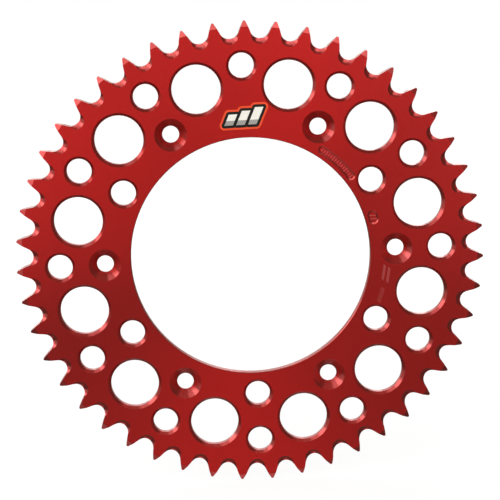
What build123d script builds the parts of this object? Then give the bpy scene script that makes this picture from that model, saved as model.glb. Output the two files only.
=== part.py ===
from build123d import *
import os
from math import acos, asin, atan2, cos, degrees, hypot, radians, sin, sqrt

os.makedirs("parts", exist_ok=True)

# Rear chain sprocket of a motorcycle. The spin axis is Y, the face with the countersinks
# looks along -Y, and the origin is the centre of the bore at mid thickness.
# The shapes are drawn lying flat, with the front face up, and turned upright at the end.
# Angles are in degrees, counter-clockwise as seen from the front, from +X.

# chain and teeth
chain_pitch = 15.875
roller_diameter = 10.16
tooth_count = 47
seat_clearance = 0.10            # between a roller and the tooth root, on the radius
seat_half_angle = 66.0           # the roller seat reaches this far each side of its bottom
flank_radius = 50.0              # slightly convex working flank
nose_radius = 0.75               # rounding of the pointed tip
first_gullet_angle = 0.69        # the teeth are not lined up with the bolt holes

# plate
plate_thickness = 5.8
tip_chamfer_width = 3.1          # along the radius, on both faces
tip_chamfer_depth = 1.3
edge_chamfer = 1.4               # 45 degrees, both ends of every lightening hole
bore_diameter = 125.7
bore_edge_break = 0.3            # front edge of the bore
bore_lead_in = 1.4               # back edge of the bore, which slides over the hub

# root scallops that let mud out from under the chain, cut with a ball-nosed tool
scallop_tool_radius = 6.0
scallop_mouth_radius = 4.3
scallop_inset = 3.6              # from the roller centre towards the bore

# countersunk bolt holes
bolt_count = 6
bolt_land = 13.65                # bore wall to bolt circle
bolt_hole_diameter = 8.8
countersink_diameter = 17.0      # 90 degree cone
bolt_back_chamfer = 0.8

# lightening holes: one missing inner hole leaves room for the decal
inner_hole_diameter = 13.0
inner_hole_wall = 5.15           # bore wall to hole wall
large_hole_diameter = 25.4
large_hole_wall = 8.96           # tooth root to hole wall
small_hole_diameter = 13.0
small_hole_wall = 7.16           # tooth root to hole wall
decal_angle = 90.0

# marks on the front face: plain bars and ticks, with no lettering
pocket_depth = 0.5               # of the two sunk marks, which have raised ticks in them
pocket_wall_angle = 58.0         # from upright
etching_depth = 0.12             # of the shallow marks, and from the face to the raised ticks
tick_width = 0.55                # of raised and of etched ticks
pocket_wall = 2.15               # bore wall to the sunk marks
panel_width = 4.3
panel_hole_gap = 0.65            # from the edge of the inner hole's chamfer
panel_bolt_gap = 1.55            # from the edge of the countersink
panel_tick_count = 15
panel_long_tick = 2.7
panel_short_tick = 1.7
roundel_length = 7.5
roundel_width = 5.1
roundel_tick_length = 3.4
roundel_tick_spacing = 1.8
roundel_slant = 0.3
badge_bar_length = 8.6
badge_bar_width = 1.5
badge_bar_gap = 1.3
badge_slant = 0.8                # sideways run per unit of height
badge_shift = 0.6                # the bars are this far off centre, each its own way
row_tick_count = 7
row_tick_step = 1.25
row_tick_length = 2.4
row_slant = 0.35
badge_bolt_gap = 1.3             # from the edge of the countersink
badge_row_gap = 2.7              # from the badge to the row of ticks
row_hole_gap = 1.2               # from the edge of the inner hole's chamfer

# decal: three swept bars with a contour edge
bar_count = 3
bar_width = 4.4
bar_gap = 1.7
bar_slant = 0.46                 # sideways run per unit of height
bar_height = 8.8
bar_step = 1.6                   # each bar is this much lower than the one before
shade_height = 2.4
black_border = 1.4
film_border = 1.0
decal_wall = 4.3                 # bore wall to the film's lower edge
decal_gap = 0.4                  # least distance from a lightening hole's chamfer
film_thickness = 0.12
ink_thickness = 0.04

overshoot = 1.0                  # how far a cutter reaches past what it cuts

# worked out from the above
half_thickness = plate_thickness / 2
tooth_step = 360 / tooth_count
pitch_radius = chain_pitch / 2 / sin(radians(tooth_step / 2))
seat_radius = roller_diameter / 2 + seat_clearance
root_radius = pitch_radius - seat_radius
bore_radius = bore_diameter / 2
bolt_circle_radius = bore_radius + bolt_land
inner_ring_radius = bore_radius + inner_hole_wall + inner_hole_diameter / 2
large_ring_radius = root_radius - large_hole_wall - large_hole_diameter / 2
small_ring_radius = root_radius - small_hole_wall - small_hole_diameter / 2
panel_radius = bore_radius + pocket_wall + panel_width / 2
badge_radius = (bolt_circle_radius + panel_radius) / 2
sixth = 360 / bolt_count
countersink_radius = countersink_diameter / 2
inner_edge_radius = inner_hole_diameter / 2 + edge_chamfer
large_edge_radius = large_hole_diameter / 2 + edge_chamfer


def polar(radius, angle):
    return Vector(radius * cos(radians(angle)), radius * sin(radians(angle)))


def angle_apart(radius_a, radius_b, distance):
    """The angle about the spin axis between points at two radii, this far from each other."""
    return degrees(acos((radius_a**2 + radius_b**2 - distance**2) / (2 * radius_a * radius_b)))


def tooth_points():
    """Half a tooth space, from the roller centre with +Y outwards, and the tip radius."""
    alpha = radians(seat_half_angle)
    seat_end = (seat_radius * sin(alpha), -seat_radius * cos(alpha))
    centre = ((seat_radius + flank_radius) * sin(alpha), -(seat_radius + flank_radius) * cos(alpha))
    lean = radians(tooth_step / 2)
    axis = (sin(lean), cos(lean))
    to_centre = (centre[0], centre[1] + pitch_radius)
    along = axis[0] * to_centre[0] + axis[1] * to_centre[1]
    reach = flank_radius - nose_radius
    nose = along + sqrt(along**2 - to_centre[0]**2 - to_centre[1]**2 + reach**2)
    nose_centre = (nose * axis[0], nose * axis[1] - pitch_radius)
    out = (nose_centre[0] - centre[0], nose_centre[1] - centre[1])
    size = hypot(*out)
    flank_end = (centre[0] + out[0] * flank_radius / size, centre[1] + out[1] * flank_radius / size)
    start_angle = atan2(seat_end[1] - centre[1], seat_end[0] - centre[0])
    end_angle = atan2(flank_end[1] - centre[1], flank_end[0] - centre[0])
    middle = (start_angle + end_angle) / 2
    flank_middle = (centre[0] + flank_radius * cos(middle), centre[1] + flank_radius * sin(middle))
    return seat_end, flank_middle, flank_end, nose + nose_radius


def from_gullet(point, gullet, side):
    """A point of a tooth space, given beside its own axis, in the plate's frame."""
    radius = hypot(point[0], point[1] + pitch_radius)
    away = degrees(asin(point[0] / radius))
    return polar(radius, gullet - side * away)


def tooth_outline(tip_radius, seat_end, flank_middle, flank_end):
    """The closed outline of all the teeth, as arcs in the order they follow each other."""
    edges = []
    for tooth in range(tooth_count):
        gullet = first_gullet_angle + tooth * tooth_step
        following = gullet + tooth_step
        seat_start = from_gullet(seat_end, gullet, 1)
        seat_bottom = polar(root_radius, gullet)
        flank_start = from_gullet(seat_end, gullet, -1)
        rise = from_gullet(flank_middle, gullet, -1)
        nose_start = from_gullet(flank_end, gullet, -1)
        tip = polar(tip_radius, gullet + tooth_step / 2)
        nose_end = from_gullet(flank_end, following, 1)
        fall = from_gullet(flank_middle, following, 1)
        next_seat = from_gullet(seat_end, following, 1)
        edges.append(ThreePointArc(seat_start, seat_bottom, flank_start))
        edges.append(ThreePointArc(flank_start, rise, nose_start))
        edges.append(ThreePointArc(nose_start, tip, nose_end))
        edges.append(ThreePointArc(nose_end, fall, next_seat))
    return make_face(edges)


def turned(points):
    """A solid of revolution about Z from a closed outline of radii and heights."""
    outline = Plane.XZ * make_face(Polyline(*points, close=True))
    return revolve(outline, Axis.Z)


def turned_blank(tip_radius):
    """The blank as it leaves the lathe, with its bore and both tip chamfers."""
    rim_radius = tip_radius + overshoot
    rim_height = half_thickness - tip_chamfer_depth * (tip_chamfer_width + overshoot) / tip_chamfer_width
    shoulder_radius = tip_radius - tip_chamfer_width
    return turned([
        (bore_radius, half_thickness - bore_edge_break),
        (bore_radius + bore_edge_break, half_thickness),
        (shoulder_radius, half_thickness),
        (rim_radius, rim_height),
        (rim_radius, -rim_height),
        (shoulder_radius, -half_thickness),
        (bore_radius + bore_lead_in, -half_thickness),
        (bore_radius, bore_lead_in - half_thickness),
    ])


def bevel_cutter(radius, bevel):
    """A 45 degree cone that opens a hole's front end by the bevel."""
    top = half_thickness + overshoot
    mouth = radius + bevel + overshoot
    return turned([(0, top - mouth), (mouth, top), (0, top)])


def hole_cutter(radius, front_bevel, back_bevel):
    """A drill and two countersinks, which may meet each other in a thin plate."""
    drill = Cylinder(radius, 2 * (half_thickness + overshoot))
    front = bevel_cutter(radius, front_bevel)
    back = Rotation(180, 0, 0) * bevel_cutter(radius, back_bevel)
    return drill + front + back


def ring_of(cutter, radius, angles):
    return [Pos(polar(radius, angle)) * cutter for angle in angles]


def hole_cutters():
    bolt_angles = [sixth * k for k in range(bolt_count)]
    small_angles = [sixth / 2 * k for k in range(2 * bolt_count)]
    large_angles = [sixth / 2 * k + sixth / 4 for k in range(2 * bolt_count)]
    between = [angle + sixth / 2 for angle in bolt_angles]
    inner_angles = [angle for angle in between if abs(angle - decal_angle) > 1]
    bolt_radius = bolt_hole_diameter / 2
    bolt = hole_cutter(bolt_radius, countersink_radius - bolt_radius, bolt_back_chamfer)
    inner = hole_cutter(inner_hole_diameter / 2, edge_chamfer, edge_chamfer)
    large = hole_cutter(large_hole_diameter / 2, edge_chamfer, edge_chamfer)
    small = hole_cutter(small_hole_diameter / 2, edge_chamfer, edge_chamfer)
    cutters = ring_of(bolt, bolt_circle_radius, bolt_angles)
    cutters += ring_of(inner, inner_ring_radius, inner_angles)
    cutters += ring_of(large, large_ring_radius, large_angles)
    cutters += ring_of(small, small_ring_radius, small_angles)
    return cutters


def scallop_cutters():
    height = half_thickness + sqrt(scallop_tool_radius**2 - scallop_mouth_radius**2)
    ball = Pos(0, 0, height) * Sphere(scallop_tool_radius)
    angles = [first_gullet_angle + tooth * tooth_step for tooth in range(tooth_count)]
    return ring_of(ball, pitch_radius - scallop_inset, angles)


def on_ring(shape, radius, angle):
    """Puts a flat mark on the face, with its own up pointing away from the bore."""
    return Pos(polar(radius, angle)) * Rotation(0, 0, angle - 90) * shape


def slanted_bar(left, bottom, width, height, slant):
    lean = slant * height
    corners = [
        (left, bottom),
        (left + width, bottom),
        (left + width + lean, bottom + height),
        (left + lean, bottom + height),
    ]
    return make_face(Polyline(*corners, close=True))


def pocket(outline, ticks):
    """A pocket with leaning walls, in which the ticks are left standing to just below the face."""
    sunk = Pos(0, 0, half_thickness) * extrude(outline, -pocket_depth, taper=pocket_wall_angle)
    mouth = Pos(0, 0, half_thickness) * extrude(outline, overshoot)
    standing = Pos(0, 0, half_thickness - pocket_depth) * extrude(ticks, pocket_depth - etching_depth)
    return sunk + mouth - standing


def size_panel():
    """A curved pocket with a scale of ticks, from an inner hole to the next bolt hole."""
    half_width = panel_width / 2
    from_hole = inner_edge_radius + panel_hole_gap + half_width
    from_bolt = countersink_radius + panel_bolt_gap + half_width
    start = sixth / 2 + angle_apart(panel_radius, inner_ring_radius, from_hole)
    end = sixth - angle_apart(panel_radius, bolt_circle_radius, from_bolt)
    ticks = Sketch()
    step = (end - start) / (panel_tick_count - 1)
    for k in range(panel_tick_count):
        length = panel_long_tick if k % 3 == 0 else panel_short_tick
        ticks += on_ring(Rectangle(tick_width, length), panel_radius, start + k * step)
    arc = CenterArc((0, 0), panel_radius, start, end - start)
    return pocket(SlotArc(arc, panel_width), ticks)


def roundel():
    """An oval pocket with two leaning ticks, half way from a bolt hole to an inner hole."""
    ticks = Sketch()
    for side in (-1, 1):
        left = (side * roundel_tick_spacing - tick_width - roundel_slant * roundel_tick_length) / 2
        ticks += slanted_bar(left, -roundel_tick_length / 2, tick_width, roundel_tick_length, roundel_slant)
    outline = SlotOverall(roundel_length, roundel_width)
    return pocket(on_ring(outline, panel_radius, sixth / 4), on_ring(ticks, panel_radius, sixth / 4))


def badge():
    """Two slanted bars, one above the other."""
    marks = Sketch()
    for side in (-1, 1):
        bottom = side * (badge_bar_width + badge_bar_gap) / 2 - badge_bar_width / 2
        left = side * badge_shift - (badge_bar_length + badge_slant * badge_bar_width) / 2
        marks += slanted_bar(left, bottom, badge_bar_length, badge_bar_width, badge_slant)
    return marks


def tick_row():
    marks = Sketch()
    for k in range(row_tick_count):
        middle = (k - (row_tick_count - 1) / 2) * row_tick_step
        left = middle - (tick_width + row_slant * row_tick_length) / 2
        marks += slanted_bar(left, -row_tick_length / 2, tick_width, row_tick_length, row_slant)
    return marks


def badge_and_row():
    """Both marks fill the arc from a countersink to the next inner hole, so they share a scale."""
    bolt_edge = -angle_apart(badge_radius, bolt_circle_radius, countersink_radius)
    hole_edge = angle_apart(badge_radius, inner_ring_radius, inner_edge_radius) - sixth / 2
    free_arc = radians(bolt_edge - hole_edge) * badge_radius
    badge_length = badge_bar_length + badge_slant * badge_bar_width + 2 * badge_shift
    row_length = (row_tick_count - 1) * row_tick_step + tick_width + row_slant * row_tick_length
    gaps = badge_bolt_gap + badge_row_gap + row_hole_gap
    fit = free_arc / (badge_length + row_length + gaps)
    badge_place = bolt_edge - degrees(fit * (badge_bolt_gap + badge_length / 2) / badge_radius)
    row_place = hole_edge + degrees(fit * (row_hole_gap + row_length / 2) / badge_radius)
    return [
        on_ring(scale(badge(), fit), badge_radius, badge_place),
        on_ring(scale(tick_row(), fit), badge_radius, row_place),
    ]


def mark_cutters():
    floor = half_thickness - etching_depth
    etched = [Pos(0, 0, floor) * extrude(mark, etching_depth + overshoot) for mark in badge_and_row()]
    return [size_panel(), roundel(), *etched]


def make_plate():
    seat_end, flank_middle, flank_end, tip_radius = tooth_points()
    outline = tooth_outline(tip_radius, seat_end, flank_middle, flank_end)
    plate = extrude(outline, half_thickness, both=True) & turned_blank(tip_radius)
    plate -= hole_cutters()
    plate -= scallop_cutters()
    plate -= mark_cutters()
    return plate


def emblem_bars(height_limit):
    """The bars, right to left, each lower than the one before."""
    bars = []
    for k in range(bar_count):
        height = min(bar_height - k * bar_step, height_limit)
        left = -k * (bar_width + bar_gap)
        bars.append(slanted_bar(left, 0, bar_width, height, bar_slant))
    return bars


def grown(bars, border):
    """One outline that follows all the bars at an even distance."""
    shape = Sketch()
    for bar in bars:
        shape += offset(bar, border)
    return shape


def decal_layer(shape, level, thickness, middle):
    """Lays one printed layer on the face, cut clear of the large holes on both sides of it."""
    foot = bore_radius + decal_wall + film_border + black_border
    placed = on_ring(Pos(-middle, 0) * shape, foot, decal_angle)
    beside = [decal_angle - sixth / 4, decal_angle + sixth / 4]
    placed -= ring_of(Circle(large_edge_radius + decal_gap), large_ring_radius, beside)
    return Pos(0, 0, half_thickness + level) * extrude(placed, thickness)


def make_decal():
    bars = emblem_bars(bar_height)
    shades = emblem_bars(shade_height)
    right = bar_width + bar_slant * bar_height
    left = -(bar_count - 1) * (bar_width + bar_gap)
    middle = (left + right) / 2
    film = grown(bars, black_border + film_border)
    black = grown(bars, black_border)
    black_level = film_thickness
    white_level = black_level + ink_thickness
    grey_level = white_level + ink_thickness
    return {
        "decal_film": decal_layer(film, 0, film_thickness, middle),
        "decal_black_ink": decal_layer(black, black_level, ink_thickness, middle),
        "decal_white_ink": decal_layer(Sketch() + bars, white_level, ink_thickness, middle),
        "decal_grey_ink": decal_layer(Sketch() + shades, grey_level, ink_thickness, middle),
    }


nodes = {"sprocket_plate": make_plate()}
nodes.update(make_decal())
for name, shape in nodes.items():
    upright = Rotation(90, 0, 0) * shape
    upright.label = name
    export_step(upright, f"parts/{name}.step")
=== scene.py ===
import math
import bpy
import bmesh
from mathutils import Matrix, Vector


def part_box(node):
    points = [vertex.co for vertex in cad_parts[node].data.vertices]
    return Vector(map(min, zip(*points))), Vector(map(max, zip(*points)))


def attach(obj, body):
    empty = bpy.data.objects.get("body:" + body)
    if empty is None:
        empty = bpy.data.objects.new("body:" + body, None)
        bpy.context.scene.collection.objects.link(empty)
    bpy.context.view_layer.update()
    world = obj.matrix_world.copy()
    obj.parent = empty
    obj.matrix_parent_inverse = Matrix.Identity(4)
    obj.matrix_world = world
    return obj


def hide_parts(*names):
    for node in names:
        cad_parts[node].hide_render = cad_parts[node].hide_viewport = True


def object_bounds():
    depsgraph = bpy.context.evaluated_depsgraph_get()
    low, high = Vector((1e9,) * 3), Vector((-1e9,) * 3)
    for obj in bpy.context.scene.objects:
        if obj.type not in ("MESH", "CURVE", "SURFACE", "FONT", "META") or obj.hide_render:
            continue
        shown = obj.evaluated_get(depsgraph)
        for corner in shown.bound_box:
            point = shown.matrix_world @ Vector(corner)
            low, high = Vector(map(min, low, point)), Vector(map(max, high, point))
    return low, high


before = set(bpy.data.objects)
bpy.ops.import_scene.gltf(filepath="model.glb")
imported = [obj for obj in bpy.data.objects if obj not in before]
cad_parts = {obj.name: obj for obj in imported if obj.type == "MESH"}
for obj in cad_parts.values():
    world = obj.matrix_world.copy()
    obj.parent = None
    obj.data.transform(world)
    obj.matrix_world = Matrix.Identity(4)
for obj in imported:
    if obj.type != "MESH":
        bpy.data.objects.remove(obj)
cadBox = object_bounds()
scene = bpy.context.scene
millimetre = 0.001


def linearFromHex(hexColour):
    # sRGB hex, as a colour picker shows it, to the linear values that shaders use
    values = [int(hexColour[k:k + 2], 16) / 255 for k in (1, 3, 5)]
    return [v / 12.92 if v <= 0.04045 else ((v + 0.055) / 1.055) ** 2.4 for v in values] + [1.0]


def addNode(tree, kind, settings=None, **links):
    # settings go on the node or on its sockets, links join an input to another node's output
    node = tree.nodes.new(kind)
    sockets = []
    for name, value in (settings or {}).items():
        if isinstance(name, str) and hasattr(node, name):
            setattr(node, name, value)
        else:
            sockets.append((name, value))
    for name, value in sockets:
        node.inputs[name].default_value = value
    for name, source in links.items():
        socket = int(name[2:]) if name.startswith("in") and name[2:].isdigit() else name.replace("_", " ")
        tree.links.new(source, node.inputs[socket])
    return node


def newMaterial(name):
    material = bpy.data.materials.new(name)
    material.use_nodes = True
    material.node_tree.nodes.clear()
    return material, material.node_tree


# the camera looks at the front face from a little above, and is rolled a little

view = {
    "target": (-0.3, 0.0, 3.1),      # mm, just above the centre of the bore
    "azimuth": -1.81,                # degrees, a little to the left of straight on
    "elevation": 11.1,
    "distance": 814.7,               # mm
    "roll": -2.93,
    "lens": 111.6,
    "sensor": 36.0,
}


def makeCamera(v):
    azimuth, elevation = math.radians(v["azimuth"]), math.radians(v["elevation"])
    flat = Vector((math.sin(azimuth), -math.cos(azimuth), 0))
    away = flat * math.cos(elevation) + Vector((0, 0, math.sin(elevation)))
    data = bpy.data.cameras.new("camera")
    data.lens = v["lens"]
    data.sensor_width = v["sensor"]
    data.clip_start = 0.01
    camera = bpy.data.objects.new("camera", data)
    camera.location = (Vector(v["target"]) + away * v["distance"]) * millimetre
    turn = away.to_track_quat("Z", "Y").to_matrix() @ Matrix.Rotation(math.radians(v["roll"]), 3, "Z")
    camera.rotation_euler = turn.to_euler()
    scene.collection.objects.link(camera)
    scene.camera = camera


makeCamera(view)
print("camera placed")

# round softboxes in front of the part and the same set behind it, seen only in reflections

studio = {"distance": 1.2, "diameter": 0.64, "behind": 0.8}       # metres, and the share of power behind
softboxes = {
    # towards is right, up and front, with the power in watts
    "keyBox": ((-0.68, 0.39, 0.62), 1.9),
    "keyEdgeBox": ((-0.83, 0.48, 0.28), 2.9),
    "topLeftEdgeBox": ((-0.48, 0.83, 0.28), 1.0),
    "leftEdgeBox": ((-0.96, 0.0, 0.28), 0.5),
    "leftBox": ((-0.79, 0.0, 0.62), 0.7),
    "topLeftBox": ((-0.39, 0.68, 0.62), 1.4),
    "topBox": ((0.0, 0.79, 0.62), 1.4),
    "topRightBox": ((0.39, 0.68, 0.62), 1.7),
    "overCameraBox": ((0.0, 0.47, 0.88), 1.7),
    "overCameraLeftBox": ((-0.33, 0.33, 0.88), 1.3),
    "overCameraRightBox": ((0.33, 0.33, 0.88), 1.8),
    "frontLeftFill": ((-0.56, 0.0, 0.83), 1.9),
    "frontRightFill": ((0.58, 0.0, 0.81), 1.5),
    "lowFill": ((0.0, -0.79, 0.62), 1.6),
    "lowLeftFill": ((-0.39, -0.68, 0.62), 0.7),
}


def makeSoftbox(name, towards, power):
    right, up, front = towards
    away = Vector((right, -front, up)).normalized()
    data = bpy.data.lights.new(name, "AREA")
    data.shape = "DISK"
    data.size = studio["diameter"]
    data.energy = power
    lamp = bpy.data.objects.new(name, data)
    lamp.location = away * studio["distance"]
    lamp.rotation_euler = away.to_track_quat("Z", "Y").to_euler()
    lamp.visible_camera = False
    scene.collection.objects.link(lamp)


for name, ((right, up, front), power) in softboxes.items():
    makeSoftbox(name, (right, up, front), power)
    makeSoftbox(name + "Behind", (right, up, -front), power * studio["behind"])
scene.view_settings.view_transform = "Standard"
print("softboxes placed")

backdrop = {
    "paper": "#ffffff",
    "room": "#fff9e6",               # a little warm, as bounced light is
    "surround": 0.19,                # how bright the room looks in reflections
    "floorSize": 12.0,               # m
    "floorGap": 0.2,                 # mm below the part
    "floorShade": "#5a5a5a",         # the paper's matte share
    "floorGlow": (0.90, 1.0),        # near the part, where a soft shadow shows, and far from it
    "glowReach": (0.15, 0.7),        # m
}


def makeBackdrop(b):
    # a white room and a pale paper floor, which throws no light of its own back on the part
    world = bpy.data.worlds.new("studio")
    world.use_nodes = True
    tree = world.node_tree
    seen = addNode(tree, "ShaderNodeLightPath").outputs["Is Camera Ray"]
    strength = addNode(tree, "ShaderNodeMapRange", {"To Min": b["surround"], "To Max": 1.0}, Value=seen)
    colour = addNode(tree, "ShaderNodeMix", {
        "data_type": "RGBA", 6: linearFromHex(b["room"]), 7: linearFromHex(b["paper"])}, in0=seen)
    background = tree.nodes["Background"]
    tree.links.new(colour.outputs[2], background.inputs["Color"])
    tree.links.new(strength.outputs[0], background.inputs["Strength"])
    scene.world = world
    shape = bmesh.new()
    bmesh.ops.create_grid(shape, x_segments=4, y_segments=4, size=b["floorSize"] / 2)
    bmesh.ops.translate(shape, vec=(0, 0, cadBox[0][2] - b["floorGap"] * millimetre), verts=shape.verts)
    mesh = bpy.data.meshes.new("paperFloor")
    shape.to_mesh(mesh)
    shape.free()
    floor = bpy.data.objects.new("paperFloor", mesh)
    scene.collection.objects.link(floor)
    material, tree = newMaterial("palePaper")
    out = addNode(tree, "ShaderNodeOutputMaterial")
    matte = addNode(tree, "ShaderNodeBsdfDiffuse", {"Color": linearFromHex(b["floorShade"])})
    position = addNode(tree, "ShaderNodeTexCoord").outputs["Object"]
    reach = addNode(tree, "ShaderNodeVectorMath", {"operation": "LENGTH"}, in0=position)
    strength = addNode(tree, "ShaderNodeMapRange", {
        "From Min": b["glowReach"][0], "From Max": b["glowReach"][1],
        "To Min": b["floorGlow"][0], "To Max": b["floorGlow"][1]}, Value=reach.outputs["Value"])
    glow = addNode(tree, "ShaderNodeEmission", {"Color": linearFromHex(b["paper"])},
                   Strength=strength.outputs[0])
    both = addNode(tree, "ShaderNodeAddShader", in0=matte.outputs[0], in1=glow.outputs[0])
    tree.links.new(both.outputs[0], out.inputs["Surface"])
    mesh.materials.append(material)
    floor.visible_glossy = False
    floor.visible_diffuse = False


makeBackdrop(backdrop)
print("floor laid")

# the plate: aluminium turned, drilled and milled, then anodised and dyed

anodised = {
    "deepDye": "#bf0f10",            # the dye varies a little over the plate
    "paleDye": "#ce1413",
    "shadedWallDye": "#ac1e18",             # painted shade: holes, chamfers and scallops get a darker, browner red than the faces
    "etchedDye": "#e0585a",          # shallow etched marks and the tops of raised ticks are paler
    "etchedDepth": (0.12, 0.03),     # mm below the face, and how far off a mark may be
    "dyePatch": 60.0,                # mm, size of a patch of deeper or paler dye
    "faceRoughness": (0.35, 0.43),
    "wallRoughness": (0.24, 0.32),   # holes, chamfers and scallops are cut cleaner than the faces
    "anisotropy": 0.7,               # the tool leaves fine rings, so highlights run across them
    "skinIor": 1.6,                  # clear oxide skin over the metal
    "skinRoughness": 0.2,
    "facePitch": 0.9,                # mm; real feed marks are 0.1 to 0.2 mm, drawn coarser to show
    "borePitch": 0.35,               # mm of depth, on every drilled, countersunk or milled wall
    "grain": 0.5,                    # mm; the etch is nearer 0.05 mm, drawn coarser to show
    "flatWithin": (0.985, 0.997),    # how squarely a surface looks along Y to count as a face
    "noiseReach": (0.1, 0.4),        # the values of the mixed noises that the roughness spans
    "feedBump": 0.05,
    "grainBump": 0.04,
    "bumpHeight": 0.1,               # mm
}


def anodisedAluminium(a):
    # turned aluminium under a dyed oxide skin: a deep red metal with soft rings and a white glint on top
    material, tree = newMaterial("redAnodisedAluminium")
    place = addNode(tree, "ShaderNodeTexCoord")
    position, normal = place.outputs["Object"], place.outputs["Normal"]
    along = addNode(tree, "ShaderNodeSeparateXYZ", Vector=position).outputs["Y"]
    radial = addNode(tree, "ShaderNodeVectorMath", {"operation": "MULTIPLY", 1: (1, 0, 1)}, in0=position)
    radius = addNode(tree, "ShaderNodeVectorMath", {"operation": "LENGTH"}, in0=radial.outputs[0])
    facing = addNode(tree, "ShaderNodeSeparateXYZ", Vector=normal).outputs["Y"]
    steep = addNode(tree, "ShaderNodeMath", {"operation": "ABSOLUTE"}, in0=facing)
    flat = addNode(tree, "ShaderNodeMapRange", {
        "From Min": a["flatWithin"][0], "From Max": a["flatWithin"][1]}, Value=steep.outputs[0])
    # rings follow the radius on the two faces and the depth on every other surface
    faceRings = addNode(tree, "ShaderNodeMath", {"operation": "DIVIDE", 1: a["facePitch"] * millimetre},
                        in0=radius.outputs["Value"])
    wallRings = addNode(tree, "ShaderNodeMath", {"operation": "DIVIDE", 1: a["borePitch"] * millimetre},
                        in0=along)
    rings = addNode(tree, "ShaderNodeMix", {"data_type": "FLOAT"}, in0=flat.outputs[0],
                    in2=wallRings.outputs[0], in3=faceRings.outputs[0])
    feed = addNode(tree, "ShaderNodeTexNoise", {"noise_dimensions": "1D", "Scale": 1.0, "Detail": 2.0},
                   W=rings.outputs[0])
    grain = addNode(tree, "ShaderNodeTexNoise", {"Scale": 1 / (a["grain"] * millimetre), "Detail": 3.0},
                    Vector=position)
    dye = addNode(tree, "ShaderNodeTexNoise", {"Scale": 1 / (a["dyePatch"] * millimetre), "Detail": 1.0},
                  Vector=position)
    dyed = addNode(tree, "ShaderNodeMix", {
        "data_type": "RGBA", 6: linearFromHex(a["deepDye"]), 7: linearFromHex(a["paleDye"])},
        in0=dye.outputs[0])
    # painted shade: every surface that is not a face takes the darker wall colour
    cut = addNode(tree, "ShaderNodeMix", {"data_type": "RGBA", 6: linearFromHex(a["shadedWallDye"])},
                  in0=flat.outputs[0], in7=dyed.outputs[2])
    depth, tolerance = a["etchedDepth"]
    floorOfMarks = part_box("sprocket_plate")[0].y + depth * millimetre
    shallow = addNode(tree, "ShaderNodeMath", {
        "operation": "COMPARE", 1: floorOfMarks, 2: tolerance * millimetre}, in0=along)
    etched = addNode(tree, "ShaderNodeMath", {"operation": "MULTIPLY"},
                     in0=shallow.outputs[0], in1=flat.outputs[0])
    colour = addNode(tree, "ShaderNodeMix", {"data_type": "RGBA", 7: linearFromHex(a["etchedDye"])},
                     in0=etched.outputs[0], in6=cut.outputs[2])
    mixed = addNode(tree, "ShaderNodeMath", {"operation": "MULTIPLY"},
                    in0=feed.outputs[0], in1=grain.outputs[0])
    low, high = a["noiseReach"]
    onFace = addNode(tree, "ShaderNodeMapRange", {
        "From Min": low, "From Max": high, "To Min": a["faceRoughness"][0],
        "To Max": a["faceRoughness"][1]}, Value=mixed.outputs[0])
    onWalls = addNode(tree, "ShaderNodeMapRange", {
        "From Min": low, "From Max": high, "To Min": a["wallRoughness"][0],
        "To Max": a["wallRoughness"][1]}, Value=mixed.outputs[0])
    rough = addNode(tree, "ShaderNodeMix", {"data_type": "FLOAT"}, in0=flat.outputs[0],
                    in2=onWalls.outputs[0], in3=onFace.outputs[0])
    height = a["bumpHeight"] * millimetre
    grooves = addNode(tree, "ShaderNodeBump", {"Strength": a["feedBump"], "Distance": height},
                      Height=feed.outputs[0])
    matte = addNode(tree, "ShaderNodeBump", {"Strength": a["grainBump"], "Distance": height},
                    Height=grain.outputs[0], Normal=grooves.outputs[0])
    # highlights run across the rings: outwards on the faces, down the slope elsewhere
    across = addNode(tree, "ShaderNodeMix", {"data_type": "VECTOR", 4: (0, 1, 0)}, in0=flat.outputs[0],
                     in5=radial.outputs[0])
    tangent = addNode(tree, "ShaderNodeVectorTransform", {
        "vector_type": "VECTOR", "convert_from": "OBJECT", "convert_to": "WORLD"}, Vector=across.outputs[1])
    shader = addNode(tree, "ShaderNodeBsdfPrincipled", {
        "Metallic": 1.0, "Anisotropic": a["anisotropy"], "Coat Weight": 1.0,
        "Coat IOR": a["skinIor"], "Coat Roughness": a["skinRoughness"],
    }, Base_Color=colour.outputs[2], Roughness=rough.outputs[0], Normal=matte.outputs[0],
        Tangent=tangent.outputs[0])
    addNode(tree, "ShaderNodeOutputMaterial", Surface=shader.outputs[0])
    return material


edges = {
    "weld": 0.002,                   # mm, joins the corners that faces share
    "sharpAngle": 25.0,              # degrees
    "breakWidth": 0.12,              # mm, every sharp edge is lightly broken
    "breakAngle": 20.0,              # degrees
    "breakSegments": 2,
}


def mergedCopy(nodeName, pieceName):
    # the same shape as the CAD node, with its faces joined so that it shades smoothly
    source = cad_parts[nodeName]
    shape = bmesh.new()
    shape.from_mesh(source.data)
    bmesh.ops.remove_doubles(shape, verts=shape.verts, dist=edges["weld"] * millimetre)
    mesh = bpy.data.meshes.new(pieceName)
    shape.to_mesh(mesh)
    shape.free()
    if "custom_normal" in mesh.attributes:
        mesh.attributes.remove(mesh.attributes["custom_normal"])
    mesh.polygons.foreach_set("use_smooth", [True] * len(mesh.polygons))
    mesh.set_sharp_from_angle(angle=math.radians(edges["sharpAngle"]))
    piece = bpy.data.objects.new(pieceName, mesh)
    scene.collection.objects.link(piece)
    return piece


plate = mergedCopy("sprocket_plate", "sprocketPlate")
soften = plate.modifiers.new("edgeBreak", "BEVEL")
soften.width = edges["breakWidth"] * millimetre
soften.segments = edges["breakSegments"]
soften.limit_method = "ANGLE"
soften.angle_limit = math.radians(edges["breakAngle"])
soften.harden_normals = True
soften.use_clamp_overlap = True
plate.data.materials.clear()
plate.data.materials.append(anodisedAluminium(anodised))
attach(plate, "root")
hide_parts("sprocket_plate")
print("plate made")

# the sticker: four thin printed layers, as the plate's maker lays them

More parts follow.
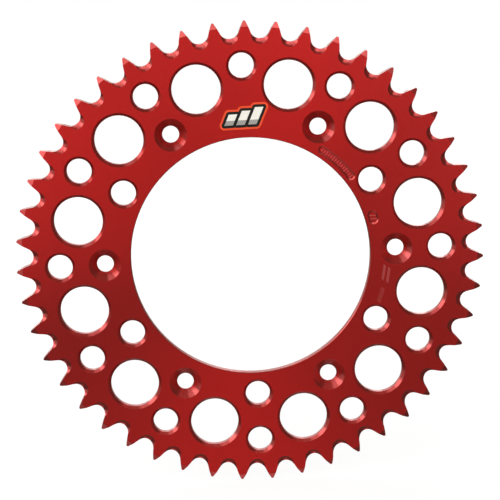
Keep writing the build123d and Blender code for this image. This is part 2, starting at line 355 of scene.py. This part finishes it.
sticker = {
    "decal_film": {"ink": "#f4502a", "inkDeep": "#e04218", "roughness": 0.30},        # orange keyline
    "decal_black_ink": {"ink": "#0d0b0b", "inkDeep": "#161212", "roughness": 0.24},
    "decal_white_ink": {"ink": "#f4f1ea", "inkDeep": "#e6e2d8", "roughness": 0.36},
    "decal_grey_ink": {"ink": "#b9b6b0", "inkDeep": "#6f6c69", "roughness": 0.36},
}
printing = {
    "patch": 3.0,                    # mm, size of a patch of deeper or paler ink
    "grain": 0.35,                   # mm, orange peel in the gloss
    "hatchPitch": 0.9,               # mm
    "hatchLean": 24.0,               # degrees
    "waveTurn": 0.314,               # how far a wave texture of scale one runs before it repeats
    "peelBump": 0.06,
    "peelHeight": 0.05,              # mm
    "roughnessSpread": 0.04,
    "inkIor": 1.5,
    "gloss": 0.6,
    "glossRoughness": 0.12,
}


def printedVinyl(name, p, hatched):
    # screen-printed vinyl: flat opaque ink under a thin clear gloss, with a faint orange peel
    material, tree = newMaterial(name)
    position = addNode(tree, "ShaderNodeTexCoord").outputs["Object"]
    if hatched:
        # the grey is printed as fine leaning lines over the white
        leaning = addNode(tree, "ShaderNodeMapping", {
            "Rotation": (0, math.radians(printing["hatchLean"]), 0)}, Vector=position)
        tone = addNode(tree, "ShaderNodeTexWave", {
            "bands_direction": "X", "Scale": printing["waveTurn"] / (printing["hatchPitch"] * millimetre)},
            Vector=leaning.outputs[0])
    else:
        tone = addNode(tree, "ShaderNodeTexNoise", {"Scale": 1 / (printing["patch"] * millimetre)},
                       Vector=position)
    colour = addNode(tree, "ShaderNodeMix", {"data_type": "RGBA", 6: linearFromHex(p["inkDeep"]),
                                             7: linearFromHex(p["ink"])}, in0=tone.outputs[0])
    peel = addNode(tree, "ShaderNodeTexNoise", {"Scale": 1 / (printing["grain"] * millimetre)},
                   Vector=position)
    waviness = addNode(tree, "ShaderNodeBump", {
        "Strength": printing["peelBump"], "Distance": printing["peelHeight"] * millimetre},
        Height=peel.outputs[0])
    spread = printing["roughnessSpread"]
    rough = addNode(tree, "ShaderNodeMapRange", {
        "To Min": p["roughness"] - spread, "To Max": p["roughness"] + spread}, Value=peel.outputs[0])
    shader = addNode(tree, "ShaderNodeBsdfPrincipled", {
        "IOR": printing["inkIor"], "Coat Weight": printing["gloss"],
        "Coat Roughness": printing["glossRoughness"]},
        Base_Color=colour.outputs[2], Roughness=rough.outputs[0], Normal=waviness.outputs[0])
    addNode(tree, "ShaderNodeOutputMaterial", Surface=shader.outputs[0])
    return material


for nodeName, p in sticker.items():
    vinyl = printedVinyl("printed" + nodeName.title().replace("_", ""), p, nodeName == "decal_grey_ink")
    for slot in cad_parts[nodeName].material_slots:
        slot.material = vinyl
print("sticker printed")
